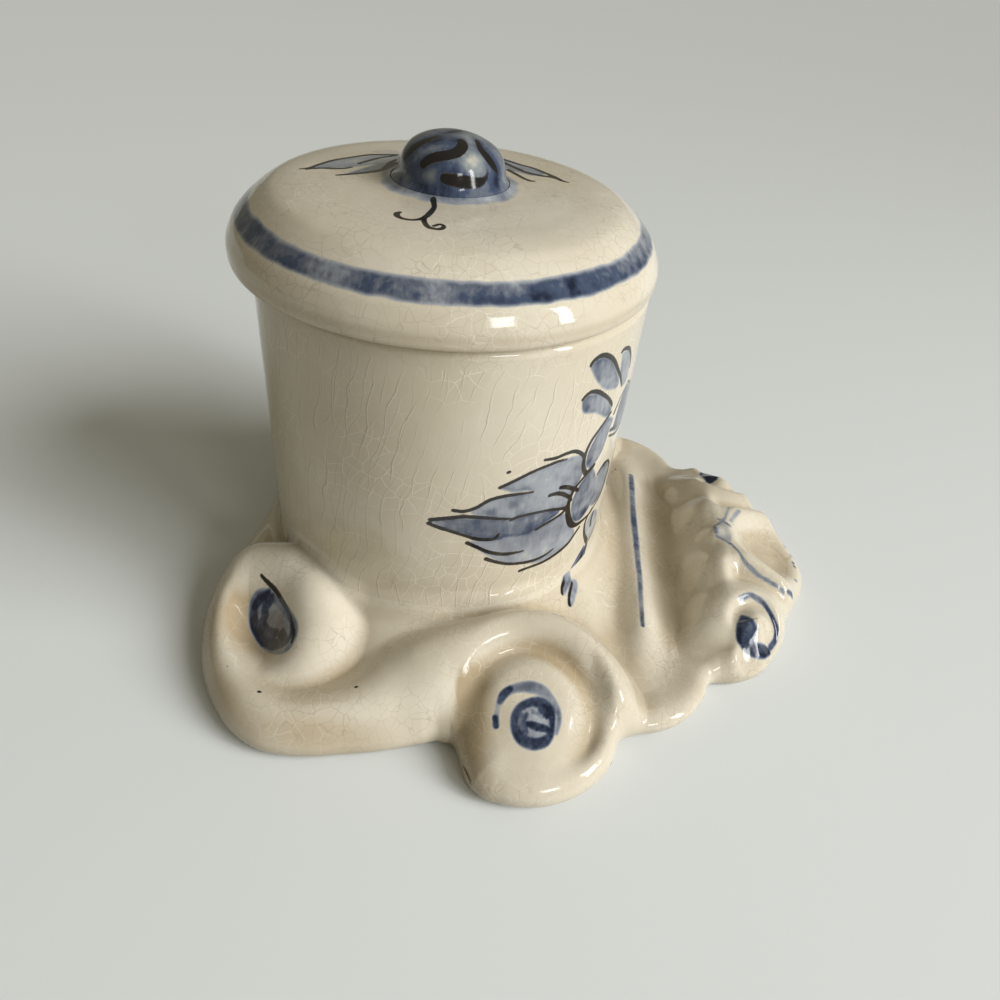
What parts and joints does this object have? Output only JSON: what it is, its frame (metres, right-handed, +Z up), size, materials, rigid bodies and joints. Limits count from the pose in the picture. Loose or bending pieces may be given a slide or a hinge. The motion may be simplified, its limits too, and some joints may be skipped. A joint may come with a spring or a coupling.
{
  "type": "ceramic lidded jar",
  "caption": "Glazed round jar with a loose knobbed lid, cast on a scroll base that runs out into a tray with a shell lip.",
  "frame": {"origin": "centre of the flat foot pad on the jar's axis, level with the table", "axes": "+Z up along the jar's axis; +X from the axis towards the shell lip of the tray; the jar is mirror-symmetric across the XZ plane"},
  "size_m": [0.1821, 0.1858, 0.1273],
  "materials": {
    "glazed_body": "cream crackle glaze with cobalt blue and dark brown painting",
    "glazed_lid": "cream crackle glaze with a cobalt blue band and a blue knob"
  },
  "bodies": {
    "jar": {"jar": "glazed_body"},
    "lid": {"lid": "glazed_lid"}
  },
  "joints": [
    {"name": "lid_lift", "type": "slide", "parent": "jar", "child": "lid", "axis": [0, 0, 1], "range_m": [0, 0.13]}
  ]
}
